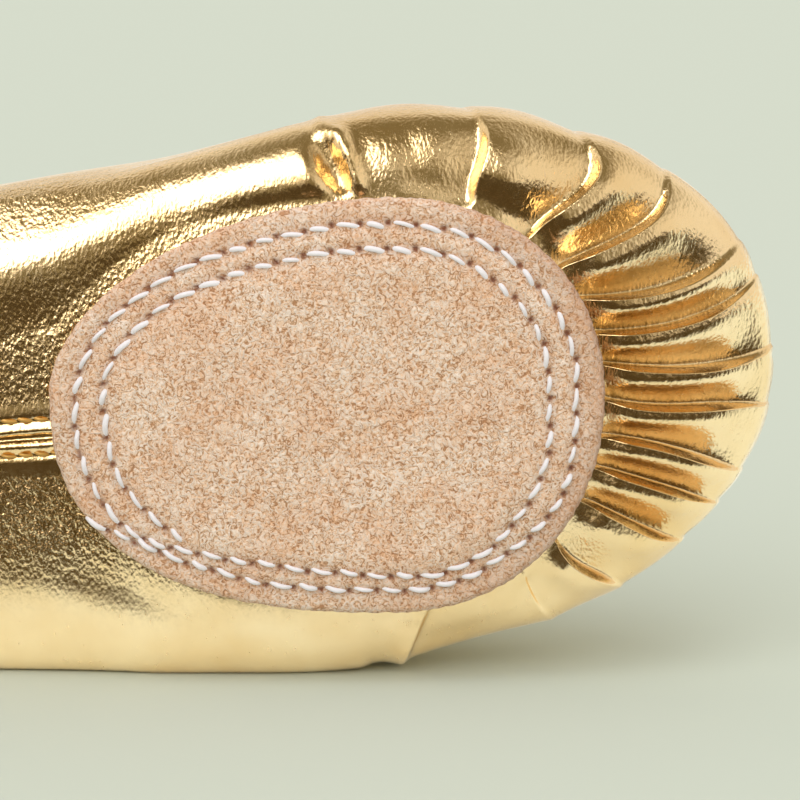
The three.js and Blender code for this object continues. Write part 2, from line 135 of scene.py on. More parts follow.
def section_at(x):
    """Sizes of the last's section at a place along the shoe."""
    x = np.asarray(x, float)
    at = np.clip(x / SHOE_LENGTH, 0, 1)
    width = HEEL_WIDTH + (BALL_WIDTH - HEEL_WIDTH) * between(SECTIONS, "widening", at)
    heel = oval((HEEL_RUN - x) / HEEL_RUN, HEEL_ROUNDNESS)

    def closed(side, run):
        toe = oval((x - SHOE_LENGTH + run) / run, TOE_ROUNDNESS)
        return np.where(x < HEEL_RUN, HEEL_Y + (side - HEEL_Y) * heel, TIP_Y + (side - TIP_Y) * toe)

    widest = between(SECTIONS, "widest", at) * INSTEP_HEIGHT
    spring = TOE_SPRING * np.maximum(0, (at - SPRING_START) / (1 - SPRING_START)) ** 1.5
    under = PAD_SEAT_HEIGHT - PAD_FLATTENING + ARCH_LIFT * between(SECTIONS, "lift", at) + spring
    crown = INSTEP_HEIGHT * between(CROWNS, "height", (x - THROAT_X) / VAMP_LENGTH)
    closing = heel * oval((x - SHOE_LENGTH + TOE_CAP_RUN) / TOE_CAP_RUN, HEEL_ROUNDNESS)
    return {
        "spine": OUTER_PLANE - between(SECTIONS, "seam", at) * width,
        "outer": closed(OUTER_PLANE + PRESSED_IN, OUTER_TOE_RUN),
        "inner": closed(OUTER_PLANE - width, INNER_TOE_RUN),
        "widest": widest,
        "bottom": widest + (under - widest) * closing,
        "crown": widest + (crown - widest) * closing,
        "under": between(SECTIONS, "under", at),
        "outer_under": between(SECTIONS, "outer_under", at),
        "over": between(SECTIONS, "over", at),
    }


def across_at(s, y):
    half = np.where(y > s["spine"], s["outer"] - s["spine"], s["spine"] - s["inner"])
    return np.abs(y - s["spine"]) / np.maximum(half, 1e-3)


def last_form(x, y, z):
    """Under 0 inside the last, over 0 outside."""
    s = section_at(x)
    over = z > s["widest"]
    top = np.where(over, s["crown"], s["bottom"]) - s["widest"]
    top = np.where(np.abs(top) < 1e-3, 1e-3, top)
    roundness = np.where(over, s["over"], np.where(y > s["spine"], s["outer_under"], s["under"]))
    value = across_at(s, y) ** roundness + np.abs((z - s["widest"]) / top) ** roundness - 1
    return np.where((x <= 0) | (x >= SHOE_LENGTH), 1.0, value)


def skin_height(x, y, over):
    """Height of the last's skin, over or under a point of the plan."""
    s = section_at(x)
    top = np.where(over, s["crown"], s["bottom"])
    roundness = np.where(over, s["over"], np.where(y > s["spine"], s["outer_under"], s["under"]))
    return s["widest"] + (top - s["widest"]) * oval(across_at(s, y), roundness)


def skin_normal(points, step=0.25):
    slopes = []
    for axis in range(3):
        shift = np.zeros(3)
        shift[axis] = step
        ahead, behind = points + shift, points - shift
        slopes.append(last_form(*np.moveaxis(ahead, -1, 0)) - last_form(*np.moveaxis(behind, -1, 0)))
    normal = np.stack(slopes, -1)
    return normal / np.maximum(np.linalg.norm(normal, axis=-1, keepdims=True), 1e-9)


def topline_at(x):
    at = x / THROAT_X
    rise = between(TOPLINE, "back", at) * (BACK_HEIGHT - SIDE_HEIGHT)
    return SIDE_HEIGHT + rise + between(TOPLINE, "throat", at) * (INSTEP_HEIGHT - SIDE_HEIGHT)


def pressed(points, normal):
    """The floor flattens the outer side, and the underside is flat where the pads bear."""
    foot = topline_at(points[..., 0]) - BINDING_WIDTH - 1
    giving = ease(points[..., 2], foot - GIVING_RUN, foot) * (SEAT + BINDING_THICKNESS)
    side_excess = points[..., 1] - (OUTER_PLANE - giving)
    under_excess = PAD_SEAT_HEIGHT - points[..., 2]
    flat = points.copy()
    flat[..., 1] -= np.maximum(side_excess, 0)
    flat[..., 2] += np.maximum(under_excess, 0)
    for excess, way_out in ((side_excess, (0, 1, 0)), (under_excess, (0, 0, -1))):
        share = np.clip(excess / SEAT, 0, 1)[..., None]
        normal = normal + (np.array(way_out) - normal) * share
    return flat, normal / np.linalg.norm(normal, axis=-1, keepdims=True)


def along(x, y, degrees, reach):
    turn = np.radians(degrees)
    return x + np.cos(turn) * reach, y - np.sin(turn) * reach


def reach_of(inside, x, y, degrees):
    """How far a bearing runs from a point before it leaves a region of the plan."""
    shape = np.broadcast(x, y, degrees).shape
    near, far = np.zeros(shape), np.full(shape, SHOE_LENGTH)
    for _ in range(36):
        middle = (near + far) / 2
        within = inside(*along(x, y, degrees, middle))
        near, far = np.where(within, middle, near), np.where(within, far, middle)
    return near


def in_plan(x, y):
    s = section_at(x)
    return (x > 0) & (x < SHOE_LENGTH) & (y < s["outer"]) & (y > s["inner"])


def in_collar(x, y):
    return (x > 0) & (skin_height(x, y, True) > topline_at(x))


def in_pad(pad, grown=0.0):
    centre_x = pad["at"] * SHOE_LENGTH
    centre_y = float(section_at(centre_x)["spine"])

    def inside(x, y):
        dx, dy = x - centre_x, y - centre_y
        length = np.where(dx > 0, pad["front"], pad["back"]) * SHOE_LENGTH + grown
        width = np.where(dy > 0, pad["outer"], pad["inner"]) * BALL_WIDTH + grown
        return np.abs(dx / length) ** pad["squareness"] + np.abs(dy / width) ** pad["squareness"] < 1

    return inside


def to_row(points):
    """Shoe terms to the lying shoe, in metres."""
    x, y, z = np.moveaxis(np.asarray(points), -1, 0)
    return np.stack([x - SHOE_LENGTH / 2, z - REST_HEIGHT, OUTER_PLANE - y], -1) * MM


# Folds of the toe, from the inner side round to the outer. root, near, far, end: bearings in degrees from
# straight ahead, from the pad's edge to the widest line. deep: millimetres from crest to valley. puff: bulge
# of the panel between two folds in millimetres, under 0 where it is hollow. rim: share of the depth left at
# the widest line. lines: mesh columns from this fold to the next.
TOE_FOLDS = {
    "root": [90, 60, 44, 33.5, 25, 15.5, 8, -0.5, -9.5, -17, -25.5, -37, -48, -73, -90],
    "near": [90, 62, 43, 31.5, 20, 13, 5, -2.5, -10, -17.5, -26, -39, -50, -77, -90],
    "far": [90, 63, 42.5, 31, 19, 13, 4, -2.5, -11.5, -18, -26.5, -38.5, -51, -80, -90],
    "end": [90, 67, 48, 34.5, 20.5, 15.5, 5, -3, -13, -18.5, -26, -38, -51, -82, -90],
    "deep": [0.3, 3.0, 3.9, 4.0, 3.4, 3.4, 3.7, 3.7, 3.7, 3.5, 3.2, 2.2, 0.7, 1.8, 0],
    "puff": [0.3, 0.6, 0.4, 0.2, 0.1, 0.1, 0.1, 0.1, 0.1, 0.1, 0.1, -0.3, -1.2, -0.5, 0],
    "rim": [0.1, 0.2, 0.15, 0.1, 0.08, 0.08, 0.08, 0.08, 0.08, 0.08, 0.1, 0.1, 0.1, 0.25, 0.1],
    "lines": [34, 28, 26, 24, 22, 22, 22, 22, 22, 22, 24, 22, 30, 16, 1],
}
# Each panel keeps its height to a shoulder, which narrows from the pad to the rim, falls to a valley close to
# the next fold and rises steeply to that fold's crest; shares of the panel's width
FOLD_SHOULDER = (0.2, 0.05)
FOLD_VALLEY = 0.92
# Share of the depth that stands out of the last's skin; the rest sinks in
FOLD_CREST = 0.62
# The depth fades over these shares of the run from the pad to the widest line
FOLD_FADES = (0.58, 1.02)
FOLD_STARTS = 4.0
CREST_CROWDING = 0.12
HEEL_FOLDS = 9
HEEL_FOLD_DEPTH = 0.7
SIDE_STEPS = 76
HEEL_STEPS = 90

fan = []
for k in range(len(TOE_FOLDS["root"]) - 1):
    even = np.arange(TOE_FOLDS["lines"][k]) / TOE_FOLDS["lines"][k]
    # columns crowd together at the crests
    for t in even - CREST_CROWDING * np.sin(2 * np.pi * even):
        columns = [TOE_FOLDS[name] for name in ("root", "near", "far", "end")]
        fan.append([k, t, *((1 - t) * column[k] + t * column[k + 1] for column in columns)])
fan = np.array(fan)
toe_part = slice(0, len(fan))
side_x = TOE_X + (HEEL_X - TOE_X) * (np.arange(SIDE_STEPS) / SIDE_STEPS) ** 1.35
heel_turn = -90 - 180 * np.arange(HEEL_STEPS) / HEEL_STEPS

# Columns are lines over the skin, out from the middle line underneath, round the widest line and up to
# the topline. They go counter-clockwise from above: toe, outer side, heel, inner side.
back_x = np.concatenate([[HEEL_X], side_x[:0:-1]])
centre_x = np.concatenate([np.full(len(fan), TOE_X), side_x, np.full(HEEL_STEPS, HEEL_X), back_x])
bearing = np.concatenate([
    fan[:, 2:].T,
    np.full((4, SIDE_STEPS), -90.0),
    np.tile(heel_turn, (4, 1)),
    np.full((4, SIDE_STEPS), -270.0),
], axis=1)
centre_y = section_at(centre_x)["spine"]
span = reach_of(in_plan, centre_x, centre_y, bearing[3])
rim = along(centre_x, centre_y, bearing[3], span)
collar_x = HEEL_X + (centre_x - HEEL_X) / (TOE_X - HEEL_X) * (THROAT_X - THROAT_RUN - HEEL_X)
collar_y = section_at(collar_x)["spine"]
lip = along(collar_x, collar_y, bearing[3], reach_of(in_collar, collar_x, collar_y, bearing[3]))
pad_edge = np.where(
    centre_x > SHOE_LENGTH / 2,
    reach_of(in_pad(FOREFOOT_PAD), centre_x, centre_y, bearing[0]),
    reach_of(in_pad(HEEL_PAD), centre_x, centre_y, bearing[0]),
)
# where a column misses the pads, its levels bunch at this share of its span
NO_PAD_EDGE = 0.4
edge_way = np.maximum(pad_edge, NO_PAD_EDGE * span) / span


def column_points(way):
    """Points of the last's skin. way: 0 at the middle line, 1 at the widest line, 2 at the topline."""
    run = np.clip((way - edge_way) / (1 - edge_way), 0, 1)
    # the turn is a cubic through the four bearings, at equal steps of the run
    a, b, c = run, run - 1 / 3, run - 2 / 3
    turn = 13.5 * a * (bearing[2] * b * (1 - a) - bearing[1] * c * (1 - a))
    turn = turn + 4.5 * b * c * (bearing[3] * a + bearing[0] * (1 - a))
    x, y = along(centre_x, centre_y, turn, reach_of(in_plan, centre_x, centre_y, turn) * np.minimum(way, 1))
    swing = np.cos(np.clip(way - 1, 0, 1) * np.pi / 2)
    over = way > 1
    x = np.where(over, lip[0] + (rim[0] - lip[0]) * swing, x)
    y = np.where(over, lip[1] + (rim[1] - lip[1]) * swing, y)
    return np.stack([x, y, skin_height(x, y, over)], -1)


# Levels of the columns: over the seam in millimetres, on to the pad's edge, past it, to the widest line and
# to the topline, the last in equal lengths
SEAM_LEVELS = (0, 0.35, 0.7, 1.0, 1.35, 1.75, 2.1, 2.45, 2.8, 3.1, 3.5)
PAST_EDGE = (-3.0, -2.0, -1.2, -0.6, -0.2, 0.2, 0.6, 1.1, 1.7, 2.4, 3.2)
steps_up = np.linspace(0, 1, 41)
count = len(centre_x)
trace = np.array([column_points(np.full(count, 1 + up)) for up in steps_up])
risen = np.cumsum(np.linalg.norm(np.diff(trace, axis=0), axis=2), 0)
lengths = np.concatenate([np.zeros((1, count)), risen])


def way_up(length):
    """The way of each column at a length from its widest line."""
    return np.array([1 + np.interp(at, lengths[:, i], steps_up) for i, at in enumerate(length)])


LEVELS_UNDER_PAD = 7
LEVELS_TO_RIM = 25
LEVELS_TO_TOPLINE = 36
ways = [level / span for level in SEAM_LEVELS]
edge_mm = edge_way * span
under_pad_run = edge_mm + PAST_EDGE[0] - SEAM_LEVELS[-1]
ways += [(SEAM_LEVELS[-1] + under_pad_run * k / LEVELS_UNDER_PAD) / span for k in range(1, LEVELS_UNDER_PAD)]
ways += [(edge_mm + level) / span for level in PAST_EDGE]
past = (edge_mm + PAST_EDGE[-1]) / span
ways += [past + (1 - past) * k / LEVELS_TO_RIM for k in range(1, LEVELS_TO_RIM + 1)]
ways += [way_up(lengths[-1] * k / LEVELS_TO_TOPLINE) for k in range(1, LEVELS_TO_TOPLINE + 1)]
ways = np.array(ways)
skin = np.array([column_points(way) for way in ways])
out = skin_normal(skin)


def fold_relief():
    """How far the pleats of the toe and the gathers of the heel stand out, in millimetres."""
    run = np.clip((ways - edge_way) / (1 - edge_way), 0, 1)
    past_edge = (ways - edge_way) * span
    relief = np.zeros(ways.shape)
    k, t = fan[:, 0].astype(int), fan[:, 1]
    deep, puff = np.array(TOE_FOLDS["deep"]), np.array(TOE_FOLDS["puff"])
    shoulder = FOLD_SHOULDER[0] + (FOLD_SHOULDER[1] - FOLD_SHOULDER[0]) * ease(run[:, toe_part], 0, 0.8)
    falling = ease(t, shoulder, FOLD_VALLEY)
    rising = ease(t, FOLD_VALLEY, 1.0)
    left_at_rim = np.array(TOE_FOLDS["rim"])
    amount = deep[k] + (deep[k + 1] - deep[k]) * falling
    at_rim = left_at_rim[k] + (left_at_rim[k + 1] - left_at_rim[k]) * falling
    fading = 1 + (at_rim - 1) * ease(run[:, toe_part], *FOLD_FADES)
    fading = fading * (1 - ease(ways[:, toe_part], 1.0, 1.4))
    crest = FOLD_CREST * ease(past_edge[:, toe_part], -0.3, FOLD_STARTS)
    valley = (1 - FOLD_CREST) * ease(past_edge[:, toe_part], -3.0, 0.6)
    height = np.where(t < FOLD_VALLEY, 1 - falling, rising)
    relief[:, toe_part] = amount * fading * (crest * height - valley * (1 - height))
    bulging = ease(past_edge[:, toe_part], 0, 6) * (1 - ease(ways[:, toe_part], 1, 1.7))
    relief[:, toe_part] += np.sin(np.pi * t) * puff[k] * bulging
    heel_part = slice(len(fan) + SIDE_STEPS, len(fan) + SIDE_STEPS + HEEL_STEPS)
    wave = np.abs(np.sin(np.arange(HEEL_STEPS) / HEEL_STEPS * np.pi * HEEL_FOLDS))
    grown = ease(past_edge[:, heel_part], 0, 4) * (1 - ease(ways[:, heel_part], 0.97, 1.3))
    relief[:, heel_part] = HEEL_FOLD_DEPTH * (wave - 0.5) * grown
    return relief


# The halves meet in a groove between two welts, each turned back and topstitched
SEAM_PROFILE = {
    "at": [0.0, 0.2, 0.6, 1.0, 1.4, 1.8, 2.15, 2.5, 2.8, 3.2, 3.8, 5.0],
    "out": [-0.45, -0.15, 0.55, 0.8, 0.7, 0.35, 0.1, 0.0, 0.2, 0.4, 0.3, 0.0],
}
SEAM_RUNS_UNDER = 6
ARCH_FROM = (HEEL_PAD["at"] + HEEL_PAD["front"]) * SHOE_LENGTH
ARCH_TO = (FOREFOOT_PAD["at"] - FOREFOOT_PAD["back"]) * SHOE_LENGTH

# Creases of worn, empty leather, as lines in the plan of the underside: how far they stand out or sink in,
# their width and their points, in millimetres. The first three make the pocket beside the first pleat.
CREASES = [
    (2.2, 2.4, [(174.0, -27.8), (173.0, -30.5), (171.9, -34.5), (170.6, -36.8), (168.1, -37.5)]),
    (-2.2, 3.6, [(172.6, -28.4), (170.9, -32.1), (168.6, -35.4)]),
    (1.0, 2.6, [(168.3, -28.8), (166.6, -32.4), (165.8, -35.3)]),
    (1.5, 12.0, [
        (100, -11), (113.9, -12.6), (122.4, -18), (130.9, -21.6),
        (139.4, -25.3), (146.5, -29.5), (162.8, -33.4),
    ]),
    (-0.8, 11.0, [(113.9, -24), (122.4, -25.5), (130.9, -26.8), (139.4, -29.6), (146.5, -32)]),
    (-0.3, 9.0, [(122.4, -7.9), (130.9, -12.3), (138, -17.4), (142.3, -21.9), (147.9, -25.2), (155, -26.8)]),
    (-0.7, 5.5, [(179.7, -38.2), (181.0, -34.6), (182.5, -29.2)]),
    (-0.8, 7.0, [(195.4, -38.1), (199.7, -35.8), (203.9, -35)]),
    (-0.7, 5.0, [(197.1, 24.8), (198, 29.3)]),
    (-0.5, 7.0, [(134, 24), (150, 31)]),
    (-0.5, 6.0, [(78, -14), (96, -20)]),
    (0.5, 6.0, [(92, -16), (112, -23)]),
]
HIGHLIGHT_CREASE = 3


def distance_to(points, line):
    """Distance in the plan from points to a line of points, and the share of the line passed."""
    best, share = np.full(points.shape[:-1], 1e9), np.zeros(points.shape[:-1])
    for k in range(len(line) - 1):
        start, end = np.array(line[k], float), np.array(line[k + 1], float)
        t = np.clip((points[..., :2] - start) @ (end - start) / np.sum((end - start) ** 2), 0, 1)
        away = np.linalg.norm(points[..., :2] - (start + t[..., None] * (end - start)), axis=-1)
        share = np.where(away < best, (k + t) / (len(line) - 1), share)
        best = np.minimum(best, away)
    return best, share


def crease_relief(points):
    relief = np.zeros(points.shape[:-1])
    for stands_out, width, line in CREASES:
        away, share = distance_to(points, line)
        tapering = 0.6 + 0.4 * np.sin(np.pi * share)
        relief += stands_out * tapering * np.exp(-((away / (0.5 * width)) ** 2))
    return relief


def slack_relief(points):
    """Slow, low waves of soft leather, away from the floor."""
    x, y, z = np.moveaxis(points, -1, 0)
    wave = np.sin(x / 9.1 + 1.3 * np.sin(y / 13 + z / 17)) * np.sin(z / 7.3 + y / 8.9 + 1.1 * np.sin(x / 21))
    wave = wave + 0.5 * np.sin(x / 4.7 + y / 6.1 + 1.7) * np.sin(z / 4.3 - x / 11)
    return 0.22 * wave


# the seam wanders a little, as a hand-guided one does
wander = 0.16 * np.sin(centre_x * 1.3) + 0.1 * np.sin(centre_x * 2.9 + 1)
across = np.clip(ways * span + wander * ease(ways * span, 0, 0.8), 0, 8)
seam_out = np.interp(across, SEAM_PROFILE["at"], SEAM_PROFILE["out"])
to_seam_end = np.minimum(centre_x - ARCH_FROM, ARCH_TO - centre_x) + SEAM_RUNS_UNDER
seam_out = seam_out * np.clip(to_seam_end / 3, 0, 1)
free = ease((ways - edge_way) * span, 0, 2)
under = 1 - ease(ways, 0.95, 1.15)
slack = (crease_relief(skin) * under + slack_relief(skin)) * np.where(seam_out > 0, 0, 1) * free
relief = fold_relief() + seam_out + slack
# the leather is smooth under the binding
foot = topline_at(skin[..., 0]) - BINDING_WIDTH
relief = relief * (1 - ease(skin[..., 2], foot - 8, foot - 1) * (ways > 1))
outside = pressed(skin + out * relief[..., None], out)[0]
outside[..., 1] = np.minimum(outside[..., 1], OUTER_PLANE)
# the lining follows valleys deeper than this, so that the wall keeps at least 0.5 mm
LINING_FOLLOWS = 0.9
plain, plain_facing = pressed(skin + out * np.minimum(relief + LINING_FOLLOWS, 0)[..., None], out)
inside = plain - plain_facing * WALL


def new_piece(name, vertices, faces, material, material_index=None, smooth=True):
    """A mesh object from points in metres and faces of point numbers."""
    mesh = bpy.data.meshes.new(name)
    mesh.from_pydata([tuple(v) for v in vertices], [], [tuple(f) for f in faces])
    for one in material if isinstance(material, (list, tuple)) else [material]:
        mesh.materials.append(one)
    if material_index is not None:
        mesh.polygons.foreach_set("material_index", material_index)
    mesh.polygons.foreach_set("use_smooth", [smooth] * len(mesh.polygons))
    mesh.validate()
    mesh.update()
    piece = bpy.data.objects.new(name, mesh)
    bpy.context.scene.collection.objects.link(piece)
    return piece


def grid_faces(levels, count):
    """Quads between rings of points that close on themselves."""
    j, i = np.meshgrid(np.arange(levels - 1), np.arange(count), indexing="ij")
    following = (i + 1) % count
    below, above = j * count, (j + 1) * count
    return np.stack([below + i, below + following, above + following, above + i], -1).reshape(-1, 4)


def welded(points, faces):
    """Numbers of the points that stay when points in one place are joined, and the faces on them."""
    rounded = np.round(points / 1e-4).astype(np.int64)
    _, first, shared = np.unique(rounded, axis=0, return_index=True, return_inverse=True)
    return first, shared.reshape(-1)[faces]


def linear(hex_colour):
    """Linear colour of an sRGB hex value."""
    parts = [int(hex_colour[k:k + 2], 16) / 255 for k in (0, 2, 4)]
    return tuple(p / 12.92 if p <= 0.04045 else ((p + 0.055) / 1.055) ** 2.4 for p in parts) + (1.0,)


def add_node(tree, kind, links=(), **settings):
    """A node with its properties or inputs set, and links into its inputs from other nodes' outputs."""
    node = tree.nodes.new(kind)
    for key, value in settings.items():
        if hasattr(node, key):
            setattr(node, key, value)
        else:
            node.inputs[key.replace("_", " ")].default_value = value
    for source, output, target in links:
        tree.links.new(source.outputs[output], node.inputs[target])
    return node


def add_noise(tree, place, **settings):
    """Noise that stays with the piece."""
    return add_node(tree, "ShaderNodeTexNoise", [(place, "Object", "Vector")], **settings)


def add_tones(tree, source, *stops):
    """Colours that follow a texture: a place from 0 to 1 and a hex colour for each stop."""
    tones = add_node(tree, "ShaderNodeValToRGB", [(source, "Fac", "Fac")])
    stop_list = tones.color_ramp.elements
    while len(stop_list) < len(stops):
        stop_list.new(0.5)
    for stop, (at, hex_colour) in zip(stop_list, stops):
        stop.position = at
        stop.color = linear(hex_colour)
    return tones


def new_material(name):
    """A material with an empty node tree, and that tree."""
    material = bpy.data.materials.new(name)
    material.use_nodes = True
    material.node_tree.nodes.clear()
    return material, material.node_tree


# Foil: a mirror-like film over leather, broken by a fine crinkle
foil, tree = new_material("gold_foil_leather")
place = add_node(tree, "ShaderNodeTexCoord")
patches = add_noise(tree, place, Scale=55, Detail=3, Roughness=0.6)
tone = add_tones(tree, patches, (0.3, "f0cc90"), (0.7, "fee2b0"))
crinkle_share = add_node(tree, "ShaderNodeAttribute", attribute_name="crinkle")
stretched = add_node(tree, "ShaderNodeMapping", [(place, "Object", "Vector")])
stretched.inputs["Scale"].default_value = (1.25, 1, 0.8)
cells = add_node(
    tree, "ShaderNodeTexVoronoi", [(stretched, "Vector", "Vector")],
    feature="SMOOTH_F1", Scale=1700, Smoothness=0.5, Randomness=1,
)
crinkle = add_node(
    tree, "ShaderNodeTexNoise", [(stretched, "Vector", "Vector")],
    Scale=950, Detail=3, Roughness=0.6, Distortion=0.4,
)
rough_spread = add_node(
    tree, "ShaderNodeMapRange", [(crinkle, "Fac", "Value")],
    From_Min=0.3, From_Max=0.7, To_Min=0.17, To_Max=0.28,
)
noise_share = add_node(tree, "ShaderNodeMath", [(crinkle_share, "Fac", 0)], operation="MULTIPLY")
noise_share.inputs[1].default_value = 0.9
soft_bump = add_node(
    tree, "ShaderNodeBump", [(crinkle, "Fac", "Height"), (noise_share, 0, "Strength")], Distance=0.00034
)
cell_share = add_node(tree, "ShaderNodeMath", [(crinkle_share, "Fac", 0)], operation="MULTIPLY")
cell_share.inputs[1].default_value = 0.5
cell_bump = add_node(
    tree, "ShaderNodeBump",
    [(cells, "Distance", "Height"), (soft_bump, "Normal", "Normal"), (cell_share, 0, "Strength")],
    Distance=0.0003,
)
shader = add_node(
    tree, "ShaderNodeBsdfPrincipled",
    [(tone, "Color", "Base Color"), (rough_spread, "Result", "Roughness"), (cell_bump, "Normal", "Normal")],
    Metallic=1.0,
)
add_node(tree, "ShaderNodeOutputMaterial", [(shader, "BSDF", "Surface")])

# Lining: undyed cotton drill
lining, tree = new_material("cotton_lining")
place = add_node(tree, "ShaderNodeTexCoord")
weave = add_node(
    tree, "ShaderNodeTexWave", [(place, "Object", "Vector")],
    bands_direction="DIAGONAL", Scale=600, Distortion=1.5, Detail=2,
)
weave_bump = add_node(tree, "ShaderNodeBump", [(weave, "Fac", "Height")], Strength=0.4, Distance=0.0002)
shader = add_node(
    tree, "ShaderNodeBsdfPrincipled", [(weave_bump, "Normal", "Normal")],
    Base_Color=linear("e2d6bd"), Roughness=0.95,
)
add_node(tree, "ShaderNodeOutputMaterial", [(shader, "BSDF", "Surface")])

skin_points = outside.reshape(-1, 3)
lining_points = inside.reshape(-1, 3)
faces = grid_faces(len(ways), count)
# the leather is turned in under the pads and open inside this margin from their edges
TURNED_IN = 7.5
middle_x, middle_y, _ = skin.reshape(-1, 3)[faces].mean(1).T
under_forefoot = in_pad(FOREFOOT_PAD, -TURNED_IN)(middle_x, middle_y)
under_heel = in_pad(HEEL_PAD, -TURNED_IN)(middle_x, middle_y)
underside_levels = len(SEAM_LEVELS) + LEVELS_UNDER_PAD - 1 + len(PAST_EDGE) + 2
is_underside = faces.max(1) < underside_levels * count
faces = faces[~((under_forefoot | under_heel) & is_underside)]
# both sides share the points of the middle line
first, faces = welded(skin_points, faces)
edges = np.concatenate([faces[:, [k, (k + 1) % 4]] for k in range(4)])
edges = edges[edges[:, 0] != edges[:, 1]]
_, where, times = np.unique(np.sort(edges, 1), axis=0, return_index=True, return_counts=True)
open_edges = edges[where[times == 1]]
total = len(first)
walls = np.stack([open_edges[:, 1], open_edges[:, 0], open_edges[:, 0] + total, open_edges[:, 1] + total], -1)
all_faces = [list(dict.fromkeys(f)) for f in np.concatenate([faces, walls, faces[:, ::-1] + total])]
upper = new_piece(
    "upper_leather",
    to_row(np.concatenate([skin_points[first], lining_points[first]])),
    all_faces,
    [foil, lining],
    np.concatenate([np.zeros(len(faces) + len(walls), int), np.ones(len(faces), int)]),
)
# crinkle is strong at the waist, a third as strong over the pleats, and weak on the seam, along the highlight
# crease and where the side is pressed smooth
crinkled = 1 - 0.64 * ease(skin[..., 0], 148, 170)
crinkled = crinkled * (1 - 0.85 * ease(skin[..., 1], 18, 29))
crinkled = crinkled * (1 - 0.75 * (seam_out != 0))
from_highlight = distance_to(skin, CREASES[HIGHLIGHT_CREASE][2])[0]
crinkled = crinkled * (1 - 0.7 * np.exp(-((from_highlight / 5.5) ** 2)))
crinkled = crinkled.reshape(-1)[first]
crinkle_values = upper.data.attributes.new("crinkle", "FLOAT", "POINT").data
crinkle_values.foreach_set("value", np.concatenate([crinkled, crinkled]))
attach(upper, "root")
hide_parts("upper")


# Forefoot pad and heel pad
# Suede split, cut to an oval, nap side out, glued on and sewn down with two rounds of one thread.
PAD_ROUNDING = 1.2
PAD_DOME = 0.25
PAD_EDGE_SHARE = 0.25
SEWN_DIP = 0.3
SEWN_DIP_WIDTH = 1.3
HOLE_DEPTH = 0.45
PRESSED_THIN = 0.35
PAD_RINGS = 92
PAD_CORNERS = 400
STITCH_PITCH = 3.9
HOLE_SIZE = 0.42
# Way of the thread: degrees turned from its start, and how far inside the pad's edge it runs, in millimetres
THREAD_WAY = {
    "turn": [
        0, 3.7, 9.4, 20, 60, 100, 122, 152, 246, 340, 363, 368,
        372, 377, 389, 405, 419, 437, 454, 473, 516, 606, 717, 731,
    ],
    "inset": [
        0.4, 2, 3.4, 4, 3.5, 3.7, 3, 4, 3.4, 3.6, 3.6, 4.1,
        5.1, 6.2, 6.9, 6.4, 5.7, 5.3, 5.6, 6.4, 7.8, 6.7, 7.7, 7.2,
    ],
}
THREAD_START = 203.6


def pad_radius(pad, power, degrees):
    """Distance from the pad's centre to its edge. power: squareness of the four quarters."""
    turn = np.radians(degrees)
    ahead, inward = np.cos(turn), np.sin(turn)
    length = np.where(ahead > 0, pad["front"], pad["back"]) * SHOE_LENGTH
    width = np.where(inward > 0, pad["inner"], pad["outer"]) * BALL_WIDTH
    inner_front, inner_back, outer_front, outer_back = power
    inner_quarter = np.where(ahead > 0, inner_front, inner_back)
    outer_quarter = np.where(ahead > 0, outer_front, outer_back)
    quarter = np.where(inward > 0, inner_quarter, outer_quarter)
    return (np.abs(ahead / length) ** quarter + np.abs(inward / width) ** quarter) ** (-1 / quarter)


def pad_centre(pad):
    x = pad["at"] * SHOE_LENGTH
    return x, float(section_at(x)["spine"])


def pad_base(x, y):
    """Skin under a pad and the direction out of it."""
    points = np.stack([x, y, skin_height(x, y, np.zeros(np.shape(x), bool))], -1)
    return pressed(points, skin_normal(points))


def thread_line(pad, power):
    turn = np.linspace(0, THREAD_WAY["turn"][-1], 2400)
    degrees = THREAD_START + turn
    inset = np.interp(turn, THREAD_WAY["turn"], THREAD_WAY["inset"])
    inset = inset + 0.12 * np.sin(turn / 7.3) + 0.1 * np.sin(turn / 3.1 + 1)
    x, y = along(*pad_centre(pad), degrees, pad_radius(pad, power, degrees) - inset)
    steps = np.hypot(np.diff(x), np.diff(y))
    length = np.concatenate([[0], np.cumsum(steps)])
    stitches = int(length[-1] / STITCH_PITCH)
    at = np.arange(stitches * 10 + 1) * STITCH_PITCH / 10
    return np.interp(at, length, x), np.interp(at, length, y)


def nearest(points, targets):
    """Distance from each point to the nearest of the targets."""
    best = np.full(len(points), 1e9)
    for target in np.array_split(targets, max(1, len(targets) // 60)):
        best = np.minimum(best, np.linalg.norm(points[:, None] - target[None], axis=-1).min(1))
    return best


